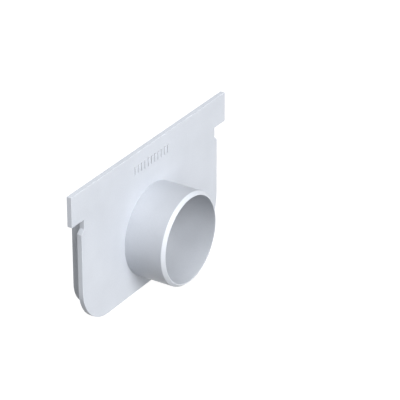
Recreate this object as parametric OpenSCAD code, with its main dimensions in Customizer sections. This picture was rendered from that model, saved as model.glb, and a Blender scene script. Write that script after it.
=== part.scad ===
// Drainage-channel end cap with a round spigot outlet.
// Millimetres, +Z up. The origin is on the outlet's axis, in the plane of the plate's front face.
// The outlet points along -Y and the rim that enters the channel points along +Y.

/* [End plate] */
// Width across the two ears
plate_w = 138.4; // [124:0.2:200]
// Height from the bottom edge to the top edge
plate_h = 77.4; // [64:0.2:120]
// Thickness of the plate
plate_t = 2.75; // [2:0.05:4]
// Width of the body below the notches
body_w = 123; // [100:0.2:134]
// Radius of the two bottom corners
corner_r = 21.5; // [12:0.5:28]
// Height of each ear, measured down from the top edge
ear_h = 16.3; // [10:0.1:22]
// Straight height of the notch under each ear
notch_h = 5.2; // [3:0.1:8]
// Depth of the notch into the side, and size of the slope that leads out of it
notch_d = 2.3; // [1:0.1:4]

/* [Outlet spigot] */
// Outer diameter, which a drain pipe's socket slides over
spigot_d = 50; // [40:1:63]
// Wall thickness
spigot_wall = 1.95; // [1.8:0.05:3.6]
// Length in front of the plate
spigot_l = 23; // [16:0.5:40]
// How far the lead-in at the free end cuts into the wall
lead_in_wall = 1.4; // [0.5:0.05:1.7]
// How far the lead-in runs along the spigot
lead_in_l = 1.65; // [0.5:0.05:3]
// Step from the outside down to the neck that sits in the plate
shoulder = 0.8; // [0.4:0.1:1.5]

/* [Locating rim] */
// Distance of the rim's outer face from the edge of the plate's body
rim_inset = 5.3; // [3:0.1:8]
// Wall thickness of the rim
rim_wall = 1.2; // [1:0.1:3]
// How far the rim reaches into the channel
rim_depth = 6.8; // [4:0.1:12]
// Drop from the ears' lower edge to the upper ends of the rim
rim_drop = 1; // [0:0.1:4]

/* [Raised ribs] */
// Width of the row of ribs
ribs_w = 30.5; // [16:0.5:48]
// Height of the ribs
ribs_h = 4.3; // [2:0.1:6]
// How far the ribs stand out of the plate
ribs_proud = 0.45; // [0.1:0.05:0.6]
// Number of ribs
ribs_n = 11; // [4:1:16]
// Width of one rib
rib_w = 1.1; // [0.6:0.1:1.6]
// Place of the ribs between the outlet (0) and the top edge (1)
ribs_rise = 0.6; // [0.4:0.05:0.7]

/* [Fits] */
// Gap all round between the spigot's neck and its hole in the plate
weld_gap = 0.1; // [0.05:0.01:0.2]

/* [Hidden] */
pvc_colour = [0.86, 0.88, 0.92];
overcut = 1;
$fn = 128;

// The outlet's invert is flush with the floor of the rim, so that the channel drains dry.
spigot_r = spigot_d / 2;
bore_r = spigot_r - spigot_wall;
neck_r = spigot_r - shoulder;
hole_r = neck_r + weld_gap;
bottom_z = -(rim_inset + rim_wall + bore_r);
top_z = bottom_z + plate_h;
ear_z = top_z - ear_h;
notch_z = ear_z - notch_h;
slope_z = notch_z - notch_d;
rim_top_z = ear_z - rim_drop;
ribs_z = spigot_r + ribs_rise * (top_z - spigot_r);
ribs_pitch = (ribs_w - rib_w) / (ribs_n - 1);

// Turns a drawing in X and Z into a slab that fills the space from y_front to y_back.
module slab(y_front, y_back) {
  translate([0, y_back, 0])
    rotate([90, 0, 0])
      linear_extrude(height = y_back - y_front)
        children();
}

// The U-shaped outline of the body, moved inwards by inset and cut off level at z_top.
module u_outline(inset, z_top) {
  half = body_w / 2 - inset;
  r = corner_r - inset;
  low = bottom_z + inset;
  translate([-half, low + r])
    square([2 * half, z_top - low - r]);
  translate([r - half, low])
    square([2 * (half - r), r + overcut]);
  for (side = [-1, 1])
    translate([side * (half - r), low + r])
      circle(r);
}

// The band between the body and the ears, with the slope at the foot of each notch.
module waist_outline() {
  outer = body_w / 2;
  inner = outer - notch_d;
  polygon([
    [-outer, slope_z - overcut], [outer, slope_z - overcut], [outer, slope_z],
    [inner, notch_z], [inner, ear_z + overcut],
    [-inner, ear_z + overcut], [-inner, notch_z], [-outer, slope_z]
  ]);
}

module plate_outline() {
  u_outline(0, slope_z);
  waist_outline();
  translate([-plate_w / 2, ear_z])
    square([plate_w, ear_h]);
}

// A plain row of upright ribs above the outlet.
module raised_ribs() {
  for (i = [0 : ribs_n - 1])
    translate([i * ribs_pitch - ribs_w / 2, ribs_z - ribs_h / 2])
      square([rib_w, ribs_h]);
}

// Flat plate that closes the end of the channel.
module end_plate() {
  color(pvc_colour)
    difference() {
      union() {
        slab(0, plate_t)
          plate_outline();
        slab(-ribs_proud, plate_t / 2)
          raised_ribs();
      }
      rotate([-90, 0, 0])
        translate([0, 0, -overcut])
          cylinder(h = plate_t + 2 * overcut, r = hole_r);
    }
}

// Tube with a lead-in at its free end and a neck that sits in the plate.
module outlet_spigot() {
  color(pvc_colour)
    rotate([-90, 0, 0])
      rotate_extrude()
        polygon([
          [bore_r, -spigot_l], [spigot_r - lead_in_wall, -spigot_l],
          [spigot_r, lead_in_l - spigot_l], [spigot_r, 0],
          [neck_r, 0], [neck_r, plate_t], [bore_r, plate_t]
        ]);
}

// U-shaped rim on the back of the plate, which plugs into the channel's trough.
module locating_rim() {
  color(pvc_colour)
    slab(plate_t, plate_t + rim_depth)
      difference() {
        u_outline(rim_inset, rim_top_z);
        u_outline(rim_inset + rim_wall, rim_top_z + overcut);
      }
}

end_plate();
outlet_spigot();
locating_rim();
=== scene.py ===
"""Drainage-channel end cap with a round spigot outlet, dressed for rendering.

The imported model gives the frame: every piece below stands on the box of the node that it replaces,
and only the sizes that no box can give, such as corner radii, are written here as named fields.
Lengths are in metres, X runs across the channel, Z is up, and the outlet points along -Y.
"""

import logging
import math
from dataclasses import dataclass, field
from enum import Enum

import bmesh
import bpy
from bmesh.types import BMEdge, BMesh, BMFace, BMVert
from mathutils import Matrix, Vector


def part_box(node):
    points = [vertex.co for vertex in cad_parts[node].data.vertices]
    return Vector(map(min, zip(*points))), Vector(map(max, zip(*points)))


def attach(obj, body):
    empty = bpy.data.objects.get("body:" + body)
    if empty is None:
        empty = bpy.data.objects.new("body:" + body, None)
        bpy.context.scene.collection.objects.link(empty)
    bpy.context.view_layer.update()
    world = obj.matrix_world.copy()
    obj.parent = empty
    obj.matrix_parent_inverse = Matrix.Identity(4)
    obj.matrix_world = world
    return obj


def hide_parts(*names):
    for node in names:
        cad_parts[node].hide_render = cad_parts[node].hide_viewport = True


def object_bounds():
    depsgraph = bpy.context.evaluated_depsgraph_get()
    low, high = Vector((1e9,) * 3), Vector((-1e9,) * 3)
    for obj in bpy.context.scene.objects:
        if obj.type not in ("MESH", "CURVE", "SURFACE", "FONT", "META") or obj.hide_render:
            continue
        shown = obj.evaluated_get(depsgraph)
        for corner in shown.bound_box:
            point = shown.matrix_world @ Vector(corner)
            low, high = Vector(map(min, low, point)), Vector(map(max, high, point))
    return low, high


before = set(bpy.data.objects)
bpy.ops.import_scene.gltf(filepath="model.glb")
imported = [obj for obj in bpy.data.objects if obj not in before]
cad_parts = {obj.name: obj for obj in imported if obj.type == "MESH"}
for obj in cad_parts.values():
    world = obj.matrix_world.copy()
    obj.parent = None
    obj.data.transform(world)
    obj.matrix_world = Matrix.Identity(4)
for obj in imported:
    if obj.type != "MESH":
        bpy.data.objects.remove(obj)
cad_low, cad_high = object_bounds()

MM = 0.001
BODY = "root"

# Edges that turn more than this are rounded, and edges that turn more than a crease shade as corners.
SHARP = math.radians(20)
CREASE = math.radians(35)

# Points closer than these lie in one plane, or become one point.
IN_PLANE = 0.01 * MM
WELD = 0.001 * MM

# Turns what is drawn flat, with +Z up, to look to the front.
FACE_FRONT = Matrix.Rotation(math.radians(90), 4, "X")

Colour = tuple[float, float, float]
SCALAR = "NodeSocketFloat"
VECTOR = "NodeSocketVector"

log = logging.getLogger("end_cap")


class Mark(Enum):
    """What a face is marked as, so that its finish, or the painted shade or highlight on it, can differ
    there.
    """

    # Rounded edges, paler from wear and a painted highlight.
    ROUND = "rounded_edge"
    # Faces at the tube's mouth: lower roughness, and a paler colour that is a painted highlight.
    TURNED_AND_HIGHLIGHT = "turned_face_and_highlight"
    # Rib flanks, darkened with painted shade.
    SHADED_FLANK = "painted_flank_shade"


class Sheen(Enum):
    """How smooth the mould's steel was where it formed a piece, as a surface roughness."""

    SPARKED = 0.50
    SATIN = 0.42


@dataclass(frozen=True)
class Extent:
    """The box of one node at rest."""

    low: Vector
    high: Vector

    @classmethod
    def of(cls, node: str) -> "Extent":
        """Reads a node's box from the frame.

        Args:
            node: the node's name.

        Returns:
            The node's extent in metres.
        """
        low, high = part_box(node)
        return cls(Vector(low), Vector(high))


# ---------------------------------------------------------------------------------------------
# Mesh helpers
# ---------------------------------------------------------------------------------------------


def flat_outline(bm: BMesh, corners: list[tuple[float, float]], y: float) -> tuple[BMFace, list[BMVert]]:
    """Makes one flat face in the plane across the outlet's axis.

    Args:
        bm: the mesh to add to.
        corners: X and Z of each corner, anticlockwise as seen from the front.
        y: the plane's place along the outlet's axis.

    Returns:
        The face, which looks to the front, and its corners in order.
    """
    verts = [bm.verts.new((x, y, z)) for x, z in corners]
    return bm.faces.new(verts), verts


def round_corners(bm: BMesh, verts: list[BMVert], radius: float, segments: int) -> None:
    """Rounds corners of a flat outline.

    Args:
        bm: the mesh.
        verts: the corners.
        radius: the radius of a square corner.
        segments: how many straight pieces make the arc.
    """
    bmesh.ops.bevel(bm, geom=verts, offset=radius, offset_type="OFFSET", segments=segments,
                    profile=0.5, affect="VERTICES", clamp_overlap=True, material=-1)


def thicken(bm: BMesh, face: BMFace, depth: float) -> None:
    """Turns a flat face into a slab by extruding it along Y.

    Args:
        bm: the mesh.
        face: the face, which stays as the slab's front.
        depth: the slab's thickness.
    """
    grown = bmesh.ops.extrude_face_region(bm, geom=[face], use_keep_orig=True)["geom"]
    moved = [g for g in grown if isinstance(g, BMVert)]
    bmesh.ops.translate(bm, verts=moved, vec=(0, depth, 0))
    bmesh.ops.recalc_face_normals(bm, faces=bm.faces[:])


def sharp_edges(edges: list[BMEdge]) -> list[BMEdge]:
    """Picks the edges at which a surface turns sharply.

    Args:
        edges: the edges to choose from.

    Returns:
        Those with two faces and a turn above the limit.
    """
    return [e for e in edges if len(e.link_faces) == 2 and e.calc_face_angle() > SHARP]


def mark_faces(bm: BMesh, faces: list[BMFace], mark: Mark) -> None:
    """Marks faces for their finish.

    Args:
        bm: the mesh.
        faces: the faces to mark.
        mark: what they are.
    """
    layer = bm.loops.layers.float.get(mark.value) or bm.loops.layers.float.new(mark.value)
    for face in faces:
        for corner in face.loops:
            corner[layer] = 1.0


def soften(bm: BMesh, edges: list[BMEdge], radius: float, segments: int = 3) -> None:
    """Rounds edges as a mould does.

    Args:
        bm: the mesh.
        edges: the edges to round.
        radius: the radius.
        segments: how many facets make the round.
    """
    made = bmesh.ops.bevel(bm, geom=edges, offset=radius, offset_type="OFFSET", segments=segments,
                           profile=0.5, affect="EDGES", clamp_overlap=True, material=-1)
    mark_faces(bm, made["faces"], Mark.ROUND)


def flat_face_at(bm: BMesh, y: float) -> BMFace:
    """Finds the largest face that lies in a plane across the outlet's axis.

    Args:
        bm: the mesh.
        y: the plane's place along Y.

    Returns:
        The face.
    """
    there = [f for f in bm.faces if all(abs(v.co.y - y) < IN_PLANE for v in f.verts)]
    return max(there, key=BMFace.calc_area)


def ring(bm: BMesh, centre: Vector, radius: float, segments: int, filled: bool = False) -> list[BMEdge]:
    """Adds a circle across the outlet's axis.

    Args:
        bm: the mesh.
        centre: the circle's centre.
        radius: its radius.
        segments: its number of sides.
        filled: whether a face closes it.

    Returns:
        The circle's edges.
    """
    made = bmesh.ops.create_circle(bm, cap_ends=filled, radius=radius, segments=segments,
                                   matrix=Matrix.Translation(centre) @ FACE_FRONT)
    return list({e for v in made["verts"] for e in v.link_edges})


def refill(bm: BMesh, face: BMFace, holes: list[BMEdge]) -> None:
    """Replaces a flat face by one with holes in it.

    Args:
        bm: the mesh.
        face: the face to replace.
        holes: the edges of the loops that stay open.
    """
    border = list(face.edges)
    normal = face.normal.copy()
    bmesh.ops.delete(bm, geom=[face], context="FACES_ONLY")
    bmesh.ops.triangle_fill(bm, use_beauty=True, edges=border + holes, normal=normal)


def raise_faces(bm: BMesh, faces: list[BMFace], rise: Vector) -> list[BMFace]:
    """Pushes flat patches out of a surface, or into it.

    Args:
        bm: the mesh.
        faces: the patches.
        rise: how far and which way.

    Returns:
        The patches where they end up.
    """
    grown = bmesh.ops.extrude_face_region(bm, geom=faces)["geom"]
    bmesh.ops.delete(bm, geom=faces, context="FACES_ONLY")
    bmesh.ops.translate(bm, verts=[g for g in grown if isinstance(g, BMVert)], vec=rise)
    return [g for g in grown if isinstance(g, BMFace)]


def finish_piece(bm: BMesh, name: str, node: str, finish: "MouldedPlastic") -> bpy.types.Object:
    """Turns a mesh into a piece that rides on the cap and stands for a node.

    Args:
        bm: the mesh, which is freed.
        name: the piece's name.
        node: the node it replaces.
        finish: its finish.

    Returns:
        The new object.
    """
    bmesh.ops.remove_doubles(bm, verts=bm.verts[:], dist=WELD)
    bmesh.ops.recalc_face_normals(bm, faces=bm.faces[:])
    loose = sum(1 for e in bm.edges if len(e.link_faces) != 2)
    for edge in bm.edges:
        edge.smooth = len(edge.link_faces) == 2 and edge.calc_face_angle() < CREASE
    mesh = bpy.data.meshes.new(name)
    bm.to_mesh(mesh)
    bm.free()
    for face in mesh.polygons:
        face.use_smooth = True
    piece = bpy.data.objects.new(name, mesh)
    bpy.context.scene.collection.objects.link(piece)
    weights = piece.modifiers.new("even shading", "WEIGHTED_NORMAL")
    weights.keep_sharp = True
    mesh.materials.append(finish.material())
    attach(piece, BODY)
    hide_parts(node)
    log.info("%s: %d faces, %d open edges, stands for %s", name, len(mesh.polygons), loose, node)
    return piece


# ---------------------------------------------------------------------------------------------
# Finishes
# ---------------------------------------------------------------------------------------------


class NodeMaker:
    """Adds nodes to one node tree and links them."""

    def __init__(self, tree: bpy.types.NodeTree) -> None:
        """Keeps the tree that the nodes go into."""
        self.tree = tree

    def add(self, kind: str, **settings: object) -> bpy.types.Node:
        """Adds a node.

        Args:
            kind: the node's type name.
            **settings: properties to set on it.

        Returns:
            The node.
        """
        node = self.tree.nodes.new(kind)
        for key, value in settings.items():
            setattr(node, key, value)
        return node

    def link(self, source: bpy.types.NodeSocket, target: bpy.types.NodeSocket) -> None:
        """Joins an output to an input."""
        self.tree.links.new(source, target)

    def fill(self, socket: bpy.types.NodeSocket, value: object) -> None:
        """Gives an input its value, as a link where the value is a socket.

        Args:
            socket: the input.
            value: a socket, a number or a colour.
        """
        if isinstance(value, bpy.types.NodeSocket):
            self.link(value, socket)
        else:
            socket.default_value = value

    def math(self, operation: str, a: object, b: object) -> bpy.types.NodeSocket:
        """Adds a sum on two values.

        Args:
            operation: the Math node's operation.
            a: a socket or a number.
            b: a socket or a number.

        Returns:
            The result's socket.
        """
        node = self.add("ShaderNodeMath", operation=operation)
        self.fill(node.inputs[0], a)
        self.fill(node.inputs[1], b)
        return node.outputs[0]

    def noise(self, vector: bpy.types.NodeSocket, scale: object, detail: float) -> bpy.types.NodeSocket:
        """Adds a noise texture.

        Args:
            vector: where it is read.
            scale: a socket or a number, in cells per metre.
            detail: how many finer layers it has.

        Returns:
            The noise value's socket.
        """
        node = self.add("ShaderNodeTexNoise")
        node.inputs["Detail"].default_value = detail
        self.fill(node.inputs["Vector"], vector)
        self.fill(node.inputs["Scale"], scale)
        return node.outputs["Fac"]

    def spread(self, value: bpy.types.NodeSocket, taken: tuple[float, float],
               given: tuple[float, float]) -> bpy.types.NodeSocket:
        """Stretches a value from one range to another and holds it there.

        Args:
            value: the value's socket.
            taken: the range that it is taken from.
            given: the range that it is given.

        Returns:
            The result's socket.
        """
        node = self.add("ShaderNodeMapRange", clamp=True)
        self.fill(node.inputs["Value"], value)
        node.inputs["From Min"].default_value, node.inputs["From Max"].default_value = taken
        node.inputs["To Min"].default_value, node.inputs["To Max"].default_value = given
        return node.outputs["Result"]

    def mix_colour(self, mask: bpy.types.NodeSocket, below: object, above: object) -> bpy.types.NodeSocket:
        """Lays one colour over another through a mask.

        Args:
            mask: the mask's socket.
            below: the colour where the mask is 0.
            above: the colour where the mask is 1.

        Returns:
            The mixed colour's socket.
        """
        node = self.add("ShaderNodeMix", data_type="RGBA")
        self.fill(node.inputs["Factor"], mask)
        self.fill(node.inputs["A"], below)
        self.fill(node.inputs["B"], above)
        return node.outputs["Result"]

    def mix_value(self, mask: object, below: object, above: object) -> bpy.types.NodeSocket:
        """Mixes two values through a mask.

        Args:
            mask: the mask's socket.
            below: the value where the mask is 0.
            above: the value where the mask is 1.

        Returns:
            The mixed value's socket.
        """
        node = self.add("ShaderNodeMix", data_type="FLOAT")
        self.fill(node.inputs["Factor"], mask)
        self.fill(node.inputs["A"], below)
        self.fill(node.inputs["B"], above)
        return node.outputs["Result"]

    def group(self, tree: bpy.types.NodeTree, **values: object) -> bpy.types.NodeSocket:
        """Places a shader group.

        Args:
            tree: the group.
            **values: its inputs by name, with an underscore for each space.

        Returns:
            Its first output.
        """
        node = self.add("ShaderNodeGroup", node_tree=tree)
        for label, value in values.items():
            self.fill(node.inputs[label.replace("_", " ")], value)
        return node.outputs[0]

    def mark(self, mark: Mark) -> bpy.types.NodeSocket:
        """Reads where the piece's faces carry a mark."""
        return self.add("ShaderNodeAttribute", attribute_name=mark.value).outputs["Fac"]


def new_group(name: str, inputs: dict[str, tuple[str, float]],
              outputs: dict[str, str]) -> bpy.types.NodeTree:
    """Makes an empty shader group with named sockets.

    Args:
        name: the group's name.
        inputs: each input's socket type and default value.
        outputs: each output's socket type.

    Returns:
        The group.
    """
    group = bpy.data.node_groups.new(name, "ShaderNodeTree")
    for label, (kind, default) in inputs.items():
        socket = group.interface.new_socket(label, in_out="INPUT", socket_type=kind)
        if kind != VECTOR:
            socket.default_value = default
    for label, kind in outputs.items():
        group.interface.new_socket(label, in_out="OUTPUT", socket_type=kind)
    return group


def mould_grain_group() -> bpy.types.NodeTree:
    """Builds the fine grain that a sparked steel mould leaves, over the slow wave of a large face.

    Returns:
        The group, which puts out a height in metres.
    """
    name = "mould_grain"
    if name in bpy.data.node_groups:
        return bpy.data.node_groups[name]
    group = new_group(name, {"Place": (VECTOR, 0.0), "Grain Size": (SCALAR, 0.4 * MM),
                             "Grain Depth": (SCALAR, 0.01 * MM), "Wave Size": (SCALAR, 40 * MM),
                             "Wave Depth": (SCALAR, 0.04 * MM)}, {"Height": SCALAR})
    make = NodeMaker(group)
    given = make.add("NodeGroupInput").outputs
    grain = make.noise(given["Place"], make.math("DIVIDE", 1.0, given["Grain Size"]), detail=2.0)
    wave = make.noise(given["Place"], make.math("DIVIDE", 1.0, given["Wave Size"]), detail=0.0)
    height = make.math("ADD", make.math("MULTIPLY", grain, given["Grain Depth"]),
                       make.math("MULTIPLY", wave, given["Wave Depth"]))
    make.link(height, make.add("NodeGroupOutput").inputs["Height"])
    return group


def cloudy_tone_group() -> bpy.types.NodeTree:
    """Builds the faint clouding of a pigmented moulding.

    Returns:
        The group, which puts out a mask from 0 to 1.
    """
    name = "cloudy_tone"
    if name in bpy.data.node_groups:
        return bpy.data.node_groups[name]
    group = new_group(name, {"Place": (VECTOR, 0.0), "Cloud Size": (SCALAR, 20 * MM),
                             "Fleck Size": (SCALAR, 0.8 * MM), "Fleck Share": (SCALAR, 0.3)},
                      {"Mask": SCALAR})
    make = NodeMaker(group)
    given = make.add("NodeGroupInput").outputs
    cloud = make.noise(given["Place"], make.math("DIVIDE", 1.0, given["Cloud Size"]), detail=3.0)
    fleck = make.noise(given["Place"], make.math("DIVIDE", 1.0, given["Fleck Size"]), detail=1.0)
    blend = make.mix_value(given["Fleck Share"], cloud, fleck)
    middle_of_noise = (0.35, 0.65)
    mask = make.spread(blend, middle_of_noise, (0.0, 1.0))
    make.link(mask, make.add("NodeGroupOutput").inputs["Mask"])
    return group


def worn_and_highlight_edge_group() -> bpy.types.NodeTree:
    """Builds the paler, broken line along a moulding's edges: partly wear from handling, partly a painted
    highlight.

    Returns:
        The group, which puts out a mask from 0 to 1.
    """
    name = "worn_edge"
    if name in bpy.data.node_groups:
        return bpy.data.node_groups[name]
    group = new_group(name, {"Place": (VECTOR, 0.0), "Edge": (SCALAR, 0.0),
                             "Break Size": (SCALAR, 3 * MM)}, {"Mask": SCALAR})
    make = NodeMaker(group)
    given = make.add("NodeGroupInput").outputs
    breaks = make.noise(given["Place"], make.math("DIVIDE", 1.0, given["Break Size"]), detail=2.0)
    faint_to_full_wear_and_highlight = (0.25, 1.0)
    worn_and_highlight = make.spread(breaks, (0.30, 0.55), faint_to_full_wear_and_highlight)
    make.link(make.math("MULTIPLY", worn_and_highlight, given["Edge"]), make.add("NodeGroupOutput").inputs["Mask"])
    return group


@dataclass(frozen=True)
class MouldedPlastic:
    """Light grey pigmented PVC, as one piece of the cap shows it.

    The painted shade darkens every colour but the painted highlight at the tube's mouth: a factor below 1
    makes a darker copy of the one plastic that stands in for shade. The drag is the scale on which the
    grain
    is read along each axis: below 1 it draws the grain out, as a core does when it leaves the mould.
    """

    name: str
    sheen: Sheen
    # Below 1, every colour but the mouth's painted highlight is darkened as painted shade.
    painted_shade: float = 1.0
    light: Colour = (0.656, 0.690, 0.750)
    dark: Colour = (0.606, 0.639, 0.697)
    # Paler colour of the edges: partly wear, partly a painted highlight.
    worn_and_highlight: Colour = (0.668, 0.701, 0.760)
    # Paler colour at the tube's mouth, kept out of the painted shade: a painted highlight.
    turned_and_highlight: Colour = (0.662, 0.696, 0.752)
    # Darker colour of the painted shade on the ribs' flanks.
    flank_shade: Colour = (0.440, 0.455, 0.480)
    roughness_swing: float = 0.045
    turned_roughness: float = 0.34
    grain_size: float = 0.45 * MM
    grain_depth: float = 0.022 * MM
    wave_size: float = 45 * MM
    wave_depth: float = 0.05 * MM
    cloud_size: float = 20 * MM
    fleck_size: float = 0.8 * MM
    break_size: float = 3 * MM
    drag: tuple[float, float, float] = (1.0, 1.0, 1.0)

    def toned(self, colour: Colour) -> tuple[float, float, float, float]:
        """Darkens a colour by the piece's painted shade, and gives it an alpha of 1."""
        return (*(self.painted_shade * part for part in colour), 1.0)

    def surface(self, make: NodeMaker, place: bpy.types.NodeSocket) -> tuple[bpy.types.NodeSocket, ...]:
        """Works out where the plastic is pale, where its edges are paler from wear and a painted
        highlight, and where the tube's mouth has a painted highlight.

        Args:
            make: the material's node maker.
            place: the Object coordinates.

        Returns:
            The cloud mask, the mask of the paler edges, and the mask of the tube's mouth.
        """
        cloud = make.group(cloudy_tone_group(), Place=place, Cloud_Size=self.cloud_size,
                           Fleck_Size=self.fleck_size)
        worn_and_highlight = make.group(worn_and_highlight_edge_group(), Place=place, Edge=make.mark(Mark.ROUND),
                          Break_Size=self.break_size)
        return cloud, worn_and_highlight, make.mark(Mark.TURNED_AND_HIGHLIGHT)

    def material(self) -> bpy.types.Material:
        """Builds the material.

        Returns:
            The material, made once for each finish.
        """
        if self.name in bpy.data.materials:
            return bpy.data.materials[self.name]
        material = bpy.data.materials.new(self.name)
        material.use_nodes = True
        shader = material.node_tree.nodes["Principled BSDF"]
        make = NodeMaker(material.node_tree)
        place = make.add("ShaderNodeTexCoord").outputs["Object"]
        cloud, worn_and_highlight, turned_and_highlight = self.surface(make, place)

        colour = make.mix_colour(cloud, self.toned(self.dark), self.toned(self.light))
        # Paler edges: partly wear, partly a painted highlight.
        colour = make.mix_colour(worn_and_highlight, colour, self.toned(self.worn_and_highlight))
        # Painted highlight on the tube's mouth.
        colour = make.mix_colour(turned_and_highlight, colour, (*self.turned_and_highlight, 1.0))
        # Painted shade: the ribs' flanks darken.
        colour = make.mix_colour(make.mark(Mark.SHADED_FLANK), colour, self.toned(self.flank_shade))
        make.link(colour, shader.inputs["Base Color"])

        smooth, swing = self.sheen.value, self.roughness_swing
        rough = make.spread(cloud, (0.0, 1.0), (smooth - swing, smooth + swing))
        rough = make.mix_value(turned_and_highlight, rough, self.turned_roughness)
        make.link(rough, shader.inputs["Roughness"])

        stretch = make.add("ShaderNodeMapping")
        stretch.inputs["Scale"].default_value = self.drag
        make.link(place, stretch.inputs["Vector"])
        height = make.group(mould_grain_group(), Place=stretch.outputs["Vector"],
                            Grain_Size=self.grain_size, Grain_Depth=self.grain_depth,
                            Wave_Size=self.wave_size, Wave_Depth=self.wave_depth)
        bump = make.add("ShaderNodeBump")
        bump.inputs["Distance"].default_value = 1.0
        make.link(height, bump.inputs["Height"])
        make.link(bump.outputs["Normal"], shader.inputs["Normal"])
        return material


# ---------------------------------------------------------------------------------------------
# The cap's pieces
# ---------------------------------------------------------------------------------------------


@dataclass
class EndPlate:
    """The flat plate with its ears, notches, raised ribs and hole.

    The ribs' rise is the place of their middle between the outlet (0) and the top edge (1). The pin
    places are X and Z of the marks on one half of the back, which the other half mirrors.
    """

    finish: MouldedPlastic
    extent: Extent = field(default_factory=lambda: Extent.of("end_plate"))
    body_half: float = 61.5 * MM
    corner_radius: float = 21.5 * MM
    ear_height: float = 16.3 * MM
    notch_height: float = 5.2 * MM
    notch_depth: float = 2.3 * MM
    edge_radius: float = 0.2 * MM
    hole_radius: float = 24.3 * MM
    rib_count: int = 11
    rib_row: float = 30.5 * MM
    rib_size: tuple[float, float] = (1.1 * MM, 4.3 * MM)
    rib_height: float = 0.45 * MM
    rib_rise: float = 0.6
    rib_radius: float = 0.1 * MM
    corner_segments: int = 28
    hole_segments: int = 144
    pin_segments: int = 32
    pin_radius: float = 2.5 * MM
    pin_depth: float = 0.35 * MM
    pin_places: tuple[tuple[float, float], ...] = (
        (54 * MM, 40 * MM), (18 * MM, 40 * MM), (46 * MM, 12 * MM), (38 * MM, -14 * MM))

    @property
    def front(self) -> float:
        """The plane of the plate's front face."""
        return self.extent.low.y + self.rib_height

    @property
    def back(self) -> float:
        """The plane of the plate's back."""
        return self.extent.high.y

    @property
    def rib_centre_z(self) -> float:
        """The height of the ribs' middle, between the top of the outlet and the plate's top edge."""
        outlet_top = Extent.of("outlet_spigot").high.z
        return outlet_top + self.rib_rise * (self.extent.high.z - outlet_top)

    def left_outline(self) -> list[tuple[float, float]]:
        """Walks down the left edge from the top corner.

        Returns:
            X and Z of each corner of the left half, the bottom one last.
        """
        ear = self.extent.low.x
        top = self.extent.high.z
        body, waist = -self.body_half, self.notch_depth - self.body_half
        ear_foot = top - self.ear_height
        notch_foot = ear_foot - self.notch_height
        slope_foot = notch_foot - self.notch_depth
        return [(ear, top), (ear, ear_foot), (waist, ear_foot), (waist, notch_foot),
                (body, slope_foot), (body, self.extent.low.z)]

    def slab(self, bm: BMesh) -> None:
        """Makes the plate without its hole and ribs.

        Args:
            bm: the mesh to fill.
        """
        left = self.left_outline()
        right = [(-x, z) for x, z in reversed(left)]
        _, verts = flat_outline(bm, left + right, self.front)
        bottom = [v for v in verts if abs(v.co.z - self.extent.low.z) < IN_PLANE]
        round_corners(bm, bottom, self.corner_radius, self.corner_segments)
        thicken(bm, flat_face_at(bm, self.front), self.back - self.front)
        soften(bm, sharp_edges(bm.edges[:]), self.edge_radius)

    def rib_faces(self, bm: BMesh) -> list[BMFace]:
        """Lays the ribs' footprints on the plate's front.

        Args:
            bm: the mesh.

        Returns:
            One face for each rib.
        """
        width, height = self.rib_size
        pitch = (self.rib_row - width) / (self.rib_count - 1)
        faces = []
        for i in range(self.rib_count):
            x = i * pitch - (self.rib_row - width) / 2
            place = (Matrix.Translation((x, self.front, self.rib_centre_z)) @ FACE_FRONT
                     @ Matrix.Diagonal((width, height, 1, 1)))
            made = bmesh.ops.create_grid(bm, x_segments=1, y_segments=1, size=0.5, matrix=place)
            faces.append(made["verts"][0].link_faces[0])
        return faces

    def pin_faces(self, bm: BMesh) -> list[BMFace]:
        """Lays the ejector pins' round footprints on the plate's back.

        Args:
            bm: the mesh.

        Returns:
            One face for each pin.
        """
        faces = []
        for x, z in self.pin_places:
            for side in (-1, 1):
                edges = ring(bm, Vector((side * x, self.back, z)), self.pin_radius,
                             self.pin_segments, filled=True)
                faces.append(edges[0].link_faces[0])
        return faces

    def build(self) -> bpy.types.Object:
        """Makes the plate.

        Returns:
            The piece.
        """
        bm = bmesh.new()
        self.slab(bm)
        front_face = flat_face_at(bm, self.front)
        back_face = flat_face_at(bm, self.back)
        front_ring = ring(bm, Vector((0, self.front, 0)), self.hole_radius, self.hole_segments)
        back_ring = ring(bm, Vector((0, self.back, 0)), self.hole_radius, self.hole_segments)
        ribs = self.rib_faces(bm)
        pins = self.pin_faces(bm)
        refill(bm, front_face, front_ring + [e for f in ribs for e in f.edges])
        refill(bm, back_face, back_ring + [e for f in pins for e in f.edges])
        bmesh.ops.bridge_loops(bm, edges=front_ring + back_ring)
        raise_faces(bm, pins, Vector((0, -self.pin_depth, 0)))
        tops = raise_faces(bm, ribs, Vector((0, -self.rib_height, 0)))
        bm.normal_update()
        crowns = {e for f in tops for e in f.edges}
        posts = {e for f in tops for v in f.verts for e in v.link_edges}
        flanks = {f for e in posts for f in e.link_faces} - set(tops)
        # Painted shade on the ribs' flanks, so that the raised ribs read as dark strokes.
        mark_faces(bm, list(flanks), Mark.SHADED_FLANK)
        soften(bm, list(crowns | posts), self.rib_radius, segments=2)
        return finish_piece(bm, "closing_plate", "end_plate", self.finish)


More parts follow.
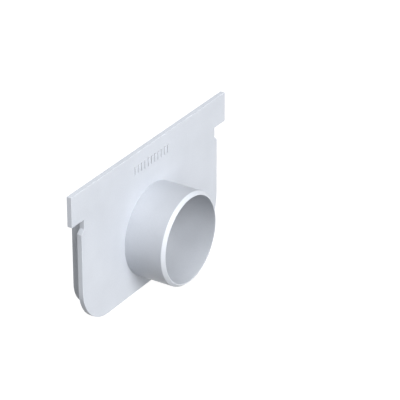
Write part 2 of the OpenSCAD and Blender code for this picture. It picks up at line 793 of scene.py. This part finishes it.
@dataclass
class OutletSpigot:
    """The tube that the drain pipe's socket slides over.

    The lead-in runs so far along the tube, and cuts so far across its wall.
    """

    finish: MouldedPlastic
    extent: Extent = field(default_factory=lambda: Extent.of("outlet_spigot"))
    wall: float = 1.95 * MM
    shoulder: float = 0.8 * MM
    plate_thickness: float = 2.75 * MM
    lead_in: tuple[float, float] = (1.65 * MM, 1.4 * MM)
    edge_radius: float = 0.2 * MM
    steps: int = 144

    def section(self, bm: BMesh) -> list[BMEdge]:
        """Draws the wall's section on the upper side of the axis.

        Args:
            bm: the mesh.

        Returns:
            The section's edges, with the mould's small rounds on its corners.
        """
        outer = self.extent.high.z
        bore = outer - self.wall
        mouth, back = self.extent.low.y, self.extent.high.y
        seat = back - self.plate_thickness
        along, across = self.lead_in
        corners = [(mouth, bore), (mouth, outer - across), (mouth + along, outer), (seat, outer),
                   (seat, outer - self.shoulder), (back, outer - self.shoulder), (back, bore)]
        verts = [bm.verts.new((0, y, r)) for y, r in corners]
        bm.faces.new(verts)
        seated = verts[3:5]
        round_corners(bm, [v for v in verts if v not in seated], self.edge_radius, segments=3)
        bmesh.ops.delete(bm, geom=bm.faces[:], context="FACES_ONLY")
        return bm.edges[:]

    def is_turned_and_highlit(self, face: BMFace) -> bool:
        """Tells whether a face belongs to the lead-in or the end, which are machined on a lathe after
        moulding and carry a painted highlight.

        Args:
            face: the face.

        Returns:
            True in front of the lead-in's foot and outside the bore.
        """
        middle = face.calc_center_median()
        reach = math.hypot(middle.x, middle.z)
        return (middle.y < self.extent.low.y + self.lead_in[0]
                and reach > self.extent.high.z - self.wall + 0.5 * self.edge_radius)

    def build(self) -> bpy.types.Object:
        """Makes the tube.

        Returns:
            The piece.
        """
        bm = bmesh.new()
        outline = self.section(bm)
        bmesh.ops.spin(bm, geom=bm.verts[:] + outline, cent=(0, 0, 0), axis=(0, 1, 0), angle=math.tau,
                       steps=self.steps, use_merge=True)
        small = [f for f in bm.faces if min(e.calc_length() for e in f.edges) < self.edge_radius]
        mark_faces(bm, small, Mark.ROUND)
        # The lead-in and the end get the painted highlight.
        mark_faces(bm, [f for f in bm.faces if self.is_turned_and_highlit(f)], Mark.TURNED_AND_HIGHLIGHT)
        return finish_piece(bm, "outlet_tube", "outlet_spigot", self.finish)


@dataclass
class LocatingRim:
    """The U-shaped rim behind the plate, which enters the channel's trough."""

    finish: MouldedPlastic
    extent: Extent = field(default_factory=lambda: Extent.of("locating_rim"))
    wall: float = 1.2 * MM
    corner_radius: float = 16.2 * MM
    corner_segments: int = 24
    edge_radius: float = 0.15 * MM

    def build(self) -> bpy.types.Object:
        """Makes the rim.

        Returns:
            The piece.
        """
        low, high = self.extent.low, self.extent.high
        inner = high.x - self.wall
        floor = low.z + self.wall
        bm = bmesh.new()
        _, verts = flat_outline(bm, [
            (low.x, high.z), (low.x, low.z), (high.x, low.z), (high.x, high.z),
            (inner, high.z), (inner, floor), (-inner, floor), (-inner, high.z)], low.y)
        outer_corners, inner_corners = verts[1:3], verts[5:7]
        round_corners(bm, outer_corners, self.corner_radius, self.corner_segments)
        round_corners(bm, inner_corners, self.corner_radius - self.wall, self.corner_segments)
        thicken(bm, flat_face_at(bm, low.y), high.y - low.y)
        free = [e for e in sharp_edges(bm.edges[:]) if max(v.co.y for v in e.verts) > low.y + IN_PLANE]
        soften(bm, free, self.edge_radius)
        return finish_piece(bm, "channel_rim", "locating_rim", self.finish)


# ---------------------------------------------------------------------------------------------
# Studio
# ---------------------------------------------------------------------------------------------


@dataclass(frozen=True)
class SoftLamp:
    """A round soft box that faces the cap."""

    name: str
    toward: tuple[float, float, float]
    power: float
    size: float = 1.8
    distance: float = 3.2

    def build(self) -> None:
        """Hangs the lamp in its direction and turns it to the cap."""
        lamp = bpy.data.lights.new(self.name, "AREA")
        lamp.shape = "DISK"
        lamp.size = self.size
        lamp.energy = self.power
        direction = Vector(self.toward).normalized()
        hung = bpy.data.objects.new(self.name, lamp)
        hung.location = direction * self.distance
        hung.rotation_mode = "QUATERNION"
        hung.rotation_quaternion = direction.to_track_quat("Z", "Y")
        bpy.context.scene.collection.objects.link(hung)


@dataclass
class Studio:
    """The floor, the soft light and the camera.

    Azimuth and elevation are in degrees, from the front, and the focal length is in millimetres.
    """

    azimuth: float = -57.75
    elevation: float = 27.9
    distance: float = 1.1790
    focal_length: float = 214.5
    aim: Vector = field(default_factory=lambda: Vector((0.00159, -0.0274, 0.02295)))
    lamps: tuple[SoftLamp, ...] = (
        SoftLamp("key", (-0.34, -0.70, 0.62), 82.0),
        SoftLamp("front", (0.0, -1.0, 0.15), 21.5),
        SoftLamp("side", (-0.70, -0.70, 0.10), 22.5),
        SoftLamp("crown", (-0.32, -0.10, 0.94), 36.0),
        SoftLamp("rear", (0.18, 1.0, 0.20), 64.0),
    )
    ambient: float = 0.18
    backdrop: float = 1.0
    floor_half: float = 6.0
    floor_grey: float = 0.15
    floor_roughness: float = 0.9
    floor_glow: float = 0.96

    def floor(self) -> None:
        """Lays a pale floor under the cap."""
        bm = bmesh.new()
        bmesh.ops.create_grid(bm, x_segments=1, y_segments=1, size=self.floor_half)
        bmesh.ops.translate(bm, verts=bm.verts[:], vec=(0, 0, cad_low.z))
        mesh = bpy.data.meshes.new("floor")
        bm.to_mesh(mesh)
        bm.free()
        floor = bpy.data.objects.new("floor", mesh)
        bpy.context.scene.collection.objects.link(floor)
        material = bpy.data.materials.new("pale_floor")
        material.use_nodes = True
        shader = material.node_tree.nodes["Principled BSDF"]
        shader.inputs["Base Color"].default_value = (self.floor_grey, self.floor_grey, self.floor_grey, 1)
        shader.inputs["Roughness"].default_value = self.floor_roughness
        shader.inputs["Emission Color"].default_value = (1, 1, 1, 1)
        shader.inputs["Emission Strength"].default_value = self.floor_glow
        mesh.materials.append(material)
        floor.visible_diffuse = False

    def fill(self) -> None:
        """Surrounds the cap with an even fill, behind a white backdrop."""
        world = bpy.data.worlds.new("studio")
        world.use_nodes = True
        bpy.context.scene.world = world
        make = NodeMaker(world.node_tree)
        sky = world.node_tree.nodes["Background"]
        seen = make.add("ShaderNodeLightPath").outputs["Is Camera Ray"]
        make.link(make.mix_value(seen, self.ambient, self.backdrop), sky.inputs["Strength"])
        sky.inputs["Color"].default_value = (1, 1, 1, 1)

    def camera(self) -> None:
        """Places the camera on a long lens."""
        azimuth, elevation = math.radians(self.azimuth), math.radians(self.elevation)
        back = Vector((math.sin(azimuth) * math.cos(elevation), -math.cos(azimuth) * math.cos(elevation),
                       math.sin(elevation)))
        lens = bpy.data.cameras.new("camera")
        lens.sensor_width = 36.0
        lens.lens = self.focal_length
        lens.clip_start, lens.clip_end = 0.01, 50.0
        camera = bpy.data.objects.new("camera", lens)
        camera.location = self.aim + back * self.distance
        camera.rotation_mode = "QUATERNION"
        camera.rotation_quaternion = (-back).to_track_quat("-Z", "Y")
        bpy.context.scene.collection.objects.link(camera)
        bpy.context.scene.camera = camera

    def build(self) -> None:
        """Sets up the camera, the floor and the light."""
        self.camera()
        self.floor()
        self.fill()
        for lamp in self.lamps:
            lamp.build()
        bpy.context.scene.view_settings.view_transform = "Standard"


def main() -> None:
    """Builds the studio and the cap, piece by piece."""
    logging.basicConfig(level=logging.INFO, format="%(name)s: %(message)s")
    Studio().build()
    EndPlate(MouldedPlastic("plate_plastic", Sheen.SPARKED)).build()
    # The tube's and the rim's plastic is the plate's, darkened as painted shade: on the rim for the shade
    # behind the plate, on the tube for a dimmer tube and bore.
    OutletSpigot(MouldedPlastic("tube_plastic_shaded", Sheen.SATIN, painted_shade=0.815, drag=(1.0, 0.12, 1.0))).build()
    LocatingRim(MouldedPlastic("rim_plastic_shaded", Sheen.SPARKED, painted_shade=0.76)).build()


if __name__ == "__main__":
    main()
